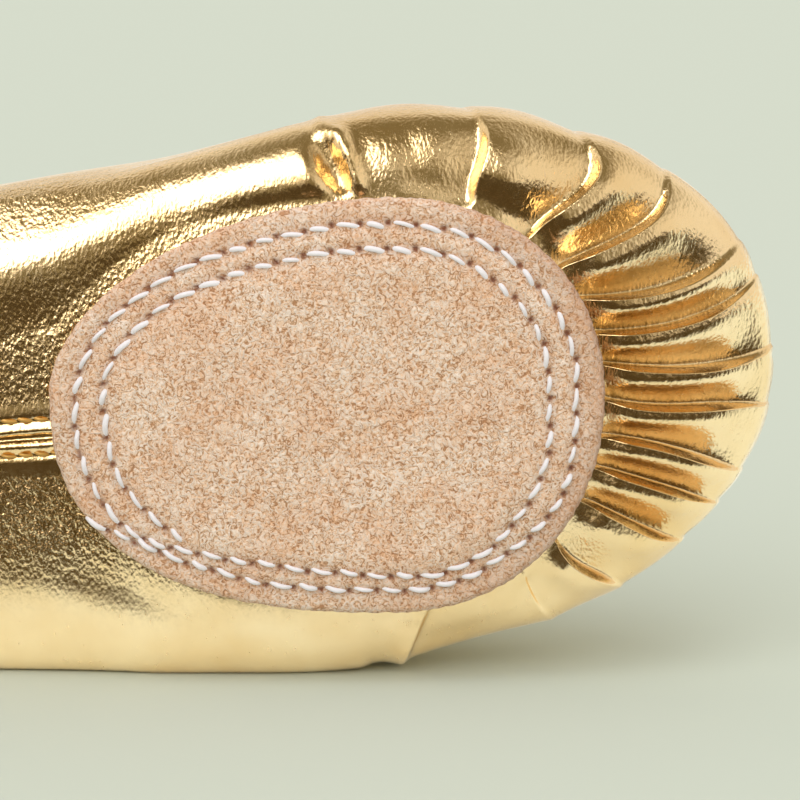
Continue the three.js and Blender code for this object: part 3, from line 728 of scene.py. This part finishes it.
def make_pad(name, node, pad, power, suede):
    centre = pad_centre(pad)
    share = np.sin(np.linspace(0, 1, PAD_RINGS) ** 0.85 * np.pi / 2)
    share[0] = 0.004
    degrees = -360 * np.arange(PAD_CORNERS) / PAD_CORNERS
    ragged = 0.05 * np.sin(np.radians(degrees) * 37 + 2 * np.sin(np.radians(degrees) * 11))
    ragged = ragged + 0.06 * np.sin(np.radians(degrees) * 97 + 3 * np.sin(np.radians(degrees) * 13))
    radius = pad_radius(pad, power, degrees) + ragged
    reach = share[:, None] * radius[None, :]
    x, y = along(*centre, degrees[None, :], reach)
    base, way_out = pad_base(x, y)
    from_edge = radius[None, :] - reach
    rounding = np.sqrt(np.clip(1 - (1 - np.clip(from_edge / PAD_ROUNDING, 0, 1)) ** 2, 0, 1))
    thread_x, thread_y = thread_line(pad, power)
    holes_x, holes_y = thread_x[5::10], thread_y[5::10]
    flat_points = np.stack([x.ravel(), y.ravel()], -1)
    to_thread = nearest(flat_points, np.stack([thread_x, thread_y], -1)).reshape(x.shape)
    to_hole = nearest(flat_points, np.stack([holes_x, holes_y], -1)).reshape(x.shape)
    nap = 0.07 * np.sin(x / 2.9 + np.sin(y / 3.7)) * np.sin(y / 2.3 + np.sin(x / 4.1))
    dip = SEWN_DIP * np.exp(-((to_thread / SEWN_DIP_WIDTH) ** 2))
    dip = dip + HOLE_DEPTH * np.exp(-((to_hole / HOLE_SIZE) ** 2))
    dome = PAD_DOME * (1 - (reach / radius[None, :]) ** 2)
    rising = PAD_EDGE_SHARE + (1 - PAD_EDGE_SHARE) * rounding
    height = (SEAT + PAD_THICKNESS - PRESSED_THIN + dome) * rising - dip * rounding + nap * rounding
    face = base + way_out * height[..., None]
    face[..., 2] = np.maximum(face[..., 2], 0)
    foot = base[-1] - way_out[-1] * 0.15
    glued_rings = [PAD_RINGS * 3 // 4, PAD_RINGS // 2, 0]
    glued = base[glued_rings] + way_out[glued_rings] * 0.02
    rings = np.concatenate([face, foot[None], glued])
    points = np.concatenate([rings.reshape(-1, 3), [face[0].mean(0)], [glued[-1].mean(0)]])
    faces = [list(f) for f in grid_faces(len(rings), PAD_CORNERS)[:, ::-1]]
    top, bottom = len(points) - 2, len(points) - 1
    last = (len(rings) - 1) * PAD_CORNERS
    for i in range(PAD_CORNERS):
        following = (i + 1) % PAD_CORNERS
        faces.append([i, following, top])
        faces.append([last + following, last + i, bottom])
    piece = new_piece(name, to_row(points), faces, suede)
    dark = np.zeros(len(points))
    # painted shade: the suede darkens towards its edge, most at the toe end, where the pad curves away from
    # the light
    at_toe = 0.25 + 0.75 * ease(np.cos(np.radians(degrees)), 0, 0.8)[None, :]
    edge_dark = 0.6 * at_toe * (1 - np.clip(from_edge / 4.5, 0, 1)) ** 1.3
    # painted shade: darker in the needle holes and in the groove along the thread
    hole_shade = np.exp(-((to_hole / HOLE_SIZE) ** 4)) + 0.25 * np.exp(-((to_thread / 0.9) ** 2))
    dark[:x.size] = np.clip(hole_shade, 0, 1).ravel()
    toe_edge_shade = np.zeros(len(points))
    toe_edge_shade[:x.size] = edge_dark.ravel()
    for key, values in (("painted_hole_shade", dark), ("painted_toe_edge_shade", toe_edge_shade)):
        piece.data.attributes.new(key, "FLOAT", "POINT").data.foreach_set("value", values)
    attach(piece, "root")
    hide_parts(node)
    return piece


# Suede: matt nap in peach tan, with flecks of rubbed and clumped fibre; painted shade at the toe edge and
# needle holes
suede, tree = new_material("suede_split")
place = add_node(tree, "ShaderNodeTexCoord")
clouds = add_noise(tree, place, Scale=140, Detail=3, Roughness=0.6)
grains = add_noise(tree, place, Scale=1350, Detail=3, Roughness=0.6, Distortion=1.8)
fibres = add_noise(tree, place, Scale=2600, Detail=4, Roughness=0.75, Distortion=2.5)
nap_tone = add_tones(tree, grains, (0.37, "bc8a62"), (0.47, "f8d0ae"), (0.57, "ffeada"))
cloud_tone = add_tones(tree, clouds, (0.35, "faeee4"), (0.6, "ffffff"))
flecked = add_node(
    tree, "ShaderNodeMix", [(nap_tone, "Color", 6), (cloud_tone, "Color", 7)],
    data_type="RGBA", blend_type="MULTIPLY",
)
flecked.inputs[0].default_value = 1.0
# painted shade along the pad's edge at the toe, mixed in as a darker tan
toe_edge_shade = add_node(tree, "ShaderNodeAttribute", attribute_name="painted_toe_edge_shade")
toe_edge_shaded = add_node(
    tree, "ShaderNodeMix", [(toe_edge_shade, "Fac", "Factor"), (flecked, 2, 6)], data_type="RGBA"
)
toe_edge_shaded.inputs[7].default_value = linear("bf8a66")
# painted shade in the needle holes and along the thread, mixed in as dark brown
hole = add_node(tree, "ShaderNodeAttribute", attribute_name="painted_hole_shade")
hole_shaded = add_node(
    tree, "ShaderNodeMix", [(hole, "Fac", "Factor"), (toe_edge_shaded, 2, 6)], data_type="RGBA"
)
hole_shaded.inputs[7].default_value = linear("8a5236")
nap_bump = add_node(tree, "ShaderNodeBump", [(grains, "Fac", "Height")], Strength=0.9, Distance=0.0006)
fibre_bump = add_node(
    tree, "ShaderNodeBump", [(fibres, "Fac", "Height"), (nap_bump, "Normal", "Normal")],
    Strength=0.4, Distance=0.0002,
)
shader = add_node(
    tree, "ShaderNodeBsdfPrincipled", [(hole_shaded, 2, "Base Color"), (fibre_bump, "Normal", "Normal")],
    Roughness=1.0, Sheen_Weight=0.25, Sheen_Roughness=0.5,
)
add_node(tree, "ShaderNodeOutputMaterial", [(shader, "BSDF", "Surface")])

PADS = {
    "forefoot": ("forefoot_sole", FOREFOOT_PAD, (2.1, 1.85, 2.1, 2.5)),
    "heel": ("heel_sole", HEEL_PAD, (2.1, 2.1, 2.1, 2.1)),
}
for pad_name, (node, pad, power) in PADS.items():
    make_pad(pad_name + "_pad", node, pad, power, suede)


# Stitches of the pads
# White cotton lockstitch, each stitch a short loop of thread that dives into its needle holes.
THREAD_RADIUS = 0.37
STITCH_LENGTH = 2.9
STITCH_RISE = 0.36
STITCH_SLANT = 0.6


def stitch_tree(name, material):
    """Geometry nodes that lay stitches along a path whose points hold the direction out of the surface."""
    group = bpy.data.node_groups.new(name, "GeometryNodeTree")
    face = group.interface
    face.new_socket("Path", in_out="INPUT", socket_type="NodeSocketGeometry")
    for label in ("Pitch", "Stitch Length", "Thread Radius", "Rise", "Slant"):
        face.new_socket(label, in_out="INPUT", socket_type="NodeSocketFloat")
    face.new_socket("Seed", in_out="INPUT", socket_type="NodeSocketInt")
    face.new_socket("Stitches", in_out="OUTPUT", socket_type="NodeSocketGeometry")
    given = add_node(group, "NodeGroupInput")
    curve = add_node(group, "GeometryNodeMeshToCurve", [(given, "Path", "Mesh")])
    points = add_node(
        group, "GeometryNodeResampleCurve", [(curve, "Curve", "Curve"), (given, "Pitch", "Length")],
        mode="LENGTH",
    )
    along_x = add_node(group, "GeometryNodeInputTangent")
    out_z = add_node(group, "GeometryNodeInputNamedAttribute", data_type="FLOAT_VECTOR")
    out_z.inputs["Name"].default_value = "out"
    turned = add_node(
        group, "FunctionNodeAxesToRotation", [(out_z, "Attribute", 0), (along_x, "Tangent", 1)],
        primary_axis="Z", secondary_axis="X",
    )
    half = add_node(group, "ShaderNodeMath", [(given, "Stitch Length", 0)], operation="MULTIPLY")
    half.inputs[1].default_value = 0.5
    back = add_node(group, "ShaderNodeMath", [(half, 0, 0)], operation="MULTIPLY")
    back.inputs[1].default_value = -1
    dive = add_node(group, "ShaderNodeMath", [(given, "Thread Radius", 0)], operation="MULTIPLY")
    dive.inputs[1].default_value = -1.5
    high = add_node(group, "ShaderNodeMath", [(given, "Rise", 0)], operation="MULTIPLY")
    high.inputs[1].default_value = 2
    start = add_node(group, "ShaderNodeCombineXYZ", [(back, 0, "X"), (dive, 0, "Z"), (given, "Slant", "Y")])
    middle = add_node(group, "ShaderNodeCombineXYZ", [(high, 0, "Z")])
    end = add_node(group, "ShaderNodeCombineXYZ", [(half, 0, "X"), (dive, 0, "Z")])
    loop = add_node(
        group, "GeometryNodeCurveQuadraticBezier",
        [(start, 0, "Start"), (middle, 0, "Middle"), (end, 0, "End")], Resolution=9,
    )
    thread = add_node(
        group, "GeometryNodeCurvePrimitiveCircle", [(given, "Thread Radius", "Radius")], Resolution=9
    )
    stitch = add_node(
        group, "GeometryNodeCurveToMesh", [(loop, "Curve", "Curve"), (thread, "Curve", "Profile Curve")]
    )
    stitch.inputs["Fill Caps"].default_value = True
    size = add_node(group, "FunctionNodeRandomValue", [(given, "Seed", "Seed")], data_type="FLOAT_VECTOR")
    size.inputs[0].default_value = (0.82, 0.8, 0.8)
    size.inputs[1].default_value = (1.04, 1.15, 1.15)
    laid = add_node(
        group, "GeometryNodeInstanceOnPoints",
        [(points, "Curve", "Points"), (stitch, "Mesh", "Instance"), (turned, "Rotation", "Rotation"),
         (size, 0, "Scale")],
    )
    real = add_node(group, "GeometryNodeRealizeInstances", [(laid, "Instances", "Geometry")])
    smooth = add_node(group, "GeometryNodeSetShadeSmooth", [(real, "Geometry", "Geometry")])
    dressed = add_node(group, "GeometryNodeSetMaterial", [(smooth, "Geometry", "Geometry")])
    dressed.inputs["Material"].default_value = material
    add_node(group, "NodeGroupOutput", [(dressed, "Geometry", "Stitches")])
    return group


def sew(name, lines, group, sizes):
    """Stitches along lines of points and outward directions in shoe terms, as one mesh."""
    path = bpy.data.meshes.new(name + "_path")
    places, edges, ways_out = [], [], []
    for points, way_out in lines:
        edges += [(len(places) + k, len(places) + k + 1) for k in range(len(points) - 1)]
        places += [tuple(p) for p in to_row(points)]
        ways_out += [tuple(v) for v in np.stack([way_out[:, 0], way_out[:, 2], -way_out[:, 1]], -1)]
    path.from_pydata(places, edges, [])
    path.attributes.new("out", "FLOAT_VECTOR", "POINT").data.foreach_set("vector", np.array(ways_out).ravel())
    carrier = bpy.data.objects.new(name + "_path", path)
    bpy.context.scene.collection.objects.link(carrier)
    modifier = carrier.modifiers.new("stitches", "NODES")
    modifier.node_group = group
    for item in group.interface.items_tree:
        if item.in_out == "INPUT" and item.name in sizes:
            modifier[item.identifier] = sizes[item.name]
    seen = carrier.evaluated_get(bpy.context.evaluated_depsgraph_get())
    mesh = bpy.data.meshes.new_from_object(seen)
    carrier.modifiers.clear()
    bpy.data.objects.remove(carrier)
    mesh.name = name
    piece = bpy.data.objects.new(name, mesh)
    bpy.context.scene.collection.objects.link(piece)
    return piece


# Sewing thread: white cotton, two plies
cotton, tree = new_material("cotton_thread")
place = add_node(tree, "ShaderNodeTexCoord")
plies = add_noise(tree, place, Scale=2600, Detail=3, Roughness=0.6)
plies_bump = add_node(tree, "ShaderNodeBump", [(plies, "Fac", "Height")], Strength=0.5, Distance=0.00015)
shader = add_node(
    tree, "ShaderNodeBsdfPrincipled", [(plies_bump, "Normal", "Normal")],
    Base_Color=linear("ebe7ec"), Roughness=0.85,
)
add_node(tree, "ShaderNodeOutputMaterial", [(shader, "BSDF", "Surface")])

white_stitches = stitch_tree("lockstitch", cotton)
for pad_name, (node, pad, power) in PADS.items():
    x, y = thread_line(pad, power)
    base, way_out = pad_base(x, y)
    on_face = base + way_out * (SEAT + PAD_THICKNESS - SEWN_DIP - 0.2)
    stitches = sew(
        pad_name + "_stitches", [(on_face, way_out)], white_stitches,
        {"Pitch": STITCH_PITCH * MM, "Stitch Length": STITCH_LENGTH * MM, "Thread Radius": THREAD_RADIUS * MM,
         "Rise": STITCH_RISE * MM, "Slant": STITCH_SLANT * MM, "Seed": 4},
    )
    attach(stitches, "root")


# Topstitches of the arch seam
# Gold-coloured twisted thread, one row on each side of the seam, holding down the turned edges.
TOPSTITCH_ACROSS = (-2.5, 2.5)
TOPSTITCH_PITCH = 2.3
TOPSTITCH_LENGTH = 2.2
TOPSTITCH_RADIUS = 0.3
TOPSTITCH_RISE = 0.3
TOPSTITCH_SLANT = 0.5

gold_thread, tree = new_material("gold_polyester_thread")
shader = add_node(
    tree, "ShaderNodeBsdfPrincipled", Base_Color=linear("d0a052"), Roughness=0.45, Metallic=0.35,
)
add_node(tree, "ShaderNodeOutputMaterial", [(shader, "BSDF", "Surface")])

seam_lines = []
for side in TOPSTITCH_ACROSS:
    x = np.linspace(ARCH_FROM - 1, ARCH_TO + 1, 160)
    y = section_at(x)["spine"] + side
    base, way_out = pad_base(x, y)
    seam_lines.append((base + way_out * 0.25, way_out))
seam_stitches = sew(
    "arch_topstitches", seam_lines, stitch_tree("topstitch", gold_thread),
    {"Pitch": TOPSTITCH_PITCH * MM, "Stitch Length": TOPSTITCH_LENGTH * MM,
     "Thread Radius": TOPSTITCH_RADIUS * MM, "Rise": TOPSTITCH_RISE * MM, "Slant": TOPSTITCH_SLANT * MM,
     "Seed": 7},
)
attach(seam_stitches, "root")


# Insole
# Thin leather over the whole bottom inside, glued to the upper's turned-in edges.
INSOLE_THICKNESS = 1.6
INSOLE_SHARE = 0.74
INSOLE_PARED = (1.5, 0.9)
insole_ways = np.linspace(0, INSOLE_SHARE, 12)[:, None] * np.ones(count)
insole_skin = np.array([column_points(way) for way in insole_ways])
insole_base, insole_out = pressed(insole_skin, skin_normal(insole_skin))
rise = np.full(len(insole_ways), INSOLE_THICKNESS)
rise[-2:] = INSOLE_PARED
underside = insole_base - insole_out * (WALL + SEAT)
topside = underside - insole_out * rise[:, None, None]

footbed, tree = new_material("insole_leather")
place = add_node(tree, "ShaderNodeTexCoord")
grain = add_noise(tree, place, Scale=700, Detail=4, Roughness=0.6)
grain_bump = add_node(tree, "ShaderNodeBump", [(grain, "Fac", "Height")], Strength=0.4, Distance=0.0002)
shader = add_node(
    tree, "ShaderNodeBsdfPrincipled", [(grain_bump, "Normal", "Normal")],
    Base_Color=linear("d9c4a2"), Roughness=0.7,
)
add_node(tree, "ShaderNodeOutputMaterial", [(shader, "BSDF", "Surface")])

rings = np.concatenate([underside, topside[::-1]])
points = rings.reshape(-1, 3)
first, faces = welded(points, grid_faces(len(rings), count))
faces = [list(dict.fromkeys(f)) for f in faces]
faces = [f for f in faces if len(f) > 2]
insole = new_piece("insole_sheet", to_row(points[first]), faces, footbed)
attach(insole, "root")
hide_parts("insole")


# Collar binding
# Narrow gold-coloured woven tape, folded over the edge of the collar; the stitches that hold it down are not
# drawn.
foot_way = way_up(lengths[-1] - BINDING_WIDTH)
lip_way = np.full(count, 2.0)
levels = [foot_way + (lip_way - foot_way) * k / 8 for k in range(9)]


def on_skin(way, rise):
    points = column_points(way)
    base, way_out = pressed(points, skin_normal(points))
    return base + way_out * rise


edge = on_skin(lip_way, 0)
up = edge - on_skin(lip_way - 0.03, 0)
up = up / np.linalg.norm(up, axis=-1, keepdims=True)
outer = SEAT + BINDING_THICKNESS
inner = -WALL - outer
middle_rise, half_fold = (outer + inner) / 2, (outer - inner) / 2
strip = [on_skin(levels[0], 0.1), on_skin(levels[0], 0.6 * outer)]
strip += [on_skin(level, outer) for level in levels[1:]]
for turn in np.linspace(15, 165, 11):
    lifted = on_skin(lip_way, middle_rise + half_fold * math.cos(math.radians(turn)))
    strip.append(lifted + up * outer * math.sin(math.radians(turn)))
strip += [on_skin(level, inner) for level in levels[:0:-1]]
strip += [on_skin(levels[0], -WALL - 0.6 * outer), on_skin(levels[0], -WALL - 0.1)]
strip += [on_skin(lip_way, -WALL - 0.1), on_skin(lip_way, 0.1)]
rings = np.array(strip)
# the last ring runs on into the first
quads = grid_faces(len(rings) + 1, count) % (len(rings) * count)

tape, tree = new_material("gold_cotton_tape")
place = add_node(tree, "ShaderNodeTexCoord")
ribs = add_node(
    tree, "ShaderNodeTexWave", [(place, "Object", "Vector")],
    bands_direction="X", Scale=320, Distortion=0.6, Detail=1,
)
ribs_bump = add_node(tree, "ShaderNodeBump", [(ribs, "Fac", "Height")], Strength=0.6, Distance=0.0002)
shader = add_node(
    tree, "ShaderNodeBsdfPrincipled", [(ribs_bump, "Normal", "Normal")],
    Base_Color=linear("c2a05c"), Roughness=0.6, Metallic=0.3,
)
add_node(tree, "ShaderNodeOutputMaterial", [(shader, "BSDF", "Surface")])
binding = new_piece("collar_tape", to_row(rings.reshape(-1, 3)), quads, tape)
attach(binding, "root")
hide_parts("collar_binding")


# Floor
# Plain pale sheet, lit softly. In gloss it shows a painted reflection: brighter near the shoe, dark further
# in front.
FLOOR_SIZE = 12.0
paper, tree = new_material("floor_paper")
spot = add_node(tree, "ShaderNodeTexCoord")
spot_parts = add_node(tree, "ShaderNodeSeparateXYZ", [(spot, "Object", "Vector")])
# painted reflection: gloss alone sees the floor paler and bluer up to about 20 mm in front of the shoe and
# dark olive beyond it
REFLECTED_FLOOR_DARKENS = (-0.038, -0.044)
ahead = add_node(
    tree, "ShaderNodeMapRange", [(spot_parts, "Y", "Value")],
    From_Min=REFLECTED_FLOOR_DARKENS[0], From_Max=REFLECTED_FLOOR_DARKENS[1], To_Min=0, To_Max=1,
)
ray = add_node(tree, "ShaderNodeLightPath")
mirrored = add_node(tree, "ShaderNodeMix", [(ahead, "Result", "Factor")], data_type="RGBA")
mirrored.inputs[6].default_value = linear("e9f8ff")
mirrored.inputs[7].default_value = linear("463c28")
sheet = add_node(
    tree, "ShaderNodeMix", [(ray, "Is Glossy Ray", "Factor"), (mirrored, 2, 7)], data_type="RGBA"
)
sheet.inputs[6].default_value = linear("c1c9be")
shader = add_node(tree, "ShaderNodeBsdfPrincipled", [(sheet, 2, "Base Color")], Roughness=0.9)
shader.inputs["Specular IOR Level"].default_value = 0.0
add_node(tree, "ShaderNodeOutputMaterial", [(shader, "BSDF", "Surface")])
half = FLOOR_SIZE / 2
floor = new_piece(
    "floor", [(-half, -half, 0), (half, -half, 0), (half, half, 0), (-half, half, 0)], [(0, 1, 2, 3)], paper
)

# Room: pale all round. Gloss alone sees a dim ceiling, the dark round the camera and, towards KEY_FROM, the
# bright diffuser of the key light.
KEY_FROM = (-0.5, -0.54, 0.68)
TOWARDS_CAMERA = (0.0, -0.978, 0.208)
world = bpy.data.worlds.new("room")
bpy.context.scene.world = world
world.use_nodes = True
tree = world.node_tree
tree.nodes.clear()
direction = add_node(tree, "ShaderNodeTexCoord")
facing_camera = add_node(tree, "ShaderNodeVectorMath", [(direction, "Generated", 0)], operation="DOT_PRODUCT")
facing_camera.inputs[1].default_value = TOWARDS_CAMERA
front = add_node(
    tree, "ShaderNodeMapRange", [(facing_camera, "Value", "Value")], From_Min=0.74, From_Max=0.96
)
height = add_node(tree, "ShaderNodeSeparateXYZ", [(direction, "Generated", "Vector")])
ceiling = add_node(tree, "ShaderNodeMapRange", [(height, "Z", "Value")], From_Min=0.55, From_Max=0.9)
shaded = add_node(tree, "ShaderNodeMath", [(front, 0, 0), (ceiling, 0, 1)], operation="MAXIMUM")
ray = add_node(tree, "ShaderNodeLightPath")
seen = add_node(tree, "ShaderNodeMath", [(shaded, 0, 0), (ray, "Is Glossy Ray", 1)], operation="MULTIPLY")
room = add_node(tree, "ShaderNodeMix", [(seen, 0, "Factor")], data_type="RGBA")
room.inputs[6].default_value = linear("fbf6ee")
room.inputs[7].default_value = linear("857b60")
toward_key = add_node(tree, "ShaderNodeVectorMath", [(direction, "Generated", 0)], operation="DOT_PRODUCT")
toward_key.inputs[1].default_value = KEY_FROM
in_key = add_node(tree, "ShaderNodeMapRange", [(toward_key, "Value", "Value")], From_Min=0.89, From_Max=0.94)
key_seen = add_node(tree, "ShaderNodeMath", [(in_key, 0, 0), (ray, "Is Glossy Ray", 1)], operation="MULTIPLY")
brightness = add_node(tree, "ShaderNodeMath", [(key_seen, 0, 0)], operation="MULTIPLY_ADD")
brightness.inputs[1].default_value = 3.1
brightness.inputs[2].default_value = 0.95
lit = add_node(tree, "ShaderNodeMix", [(key_seen, 0, "Factor"), (room, 2, 6)], data_type="RGBA")
lit.inputs[7].default_value = (1, 1, 1, 1)
sky = add_node(tree, "ShaderNodeBackground", [(lit, 2, "Color"), (brightness, 0, "Strength")])
add_node(tree, "ShaderNodeOutputWorld", [(sky, "Background", "Surface")])


def soft_sun(name, away, width, strength):
    """Even light from a direction, as wide as a large diffuser seen from the shoe, in degrees."""
    light = bpy.data.lights.new(name, "SUN")
    light.energy = strength
    light.angle = math.radians(width)
    lamp = bpy.data.objects.new(name, light)
    x, y, z = away
    lamp.rotation_euler = (math.atan2(math.hypot(x, y), z), 0, math.atan2(y, x) + math.pi / 2)
    lamp.visible_glossy = False
    bpy.context.scene.collection.objects.link(lamp)


soft_sun("key_diffuser", (-0.2, -0.6, 0.77), 60, 1.0)
soft_sun("top_diffuser", (0.15, -0.15, 1.0), 26, 0.35)
bpy.context.scene.view_settings.view_transform = "Standard"

# Camera at the photograph's angle: square to the underside and a little from above, the heel out of frame
CAMERA_AIM = (0.0631, -0.02, 0.0418)
CAMERA_DISTANCE = 0.7
CAMERA_DOWN = 12
PHOTO_WIDTH = 0.1117
lens = bpy.data.cameras.new("camera")
lens.sensor_width = 36
lens.lens = 36 * CAMERA_DISTANCE / PHOTO_WIDTH
lens.clip_start = 0.01
camera = bpy.data.objects.new("camera", lens)
tilt = math.radians(CAMERA_DOWN)
camera.location = (
    CAMERA_AIM[0],
    CAMERA_AIM[1] - CAMERA_DISTANCE * math.cos(tilt),
    CAMERA_AIM[2] + CAMERA_DISTANCE * math.sin(tilt),
)
camera.rotation_euler = (math.pi / 2 - tilt, 0, 0)
bpy.context.scene.collection.objects.link(camera)
bpy.context.scene.camera = camera
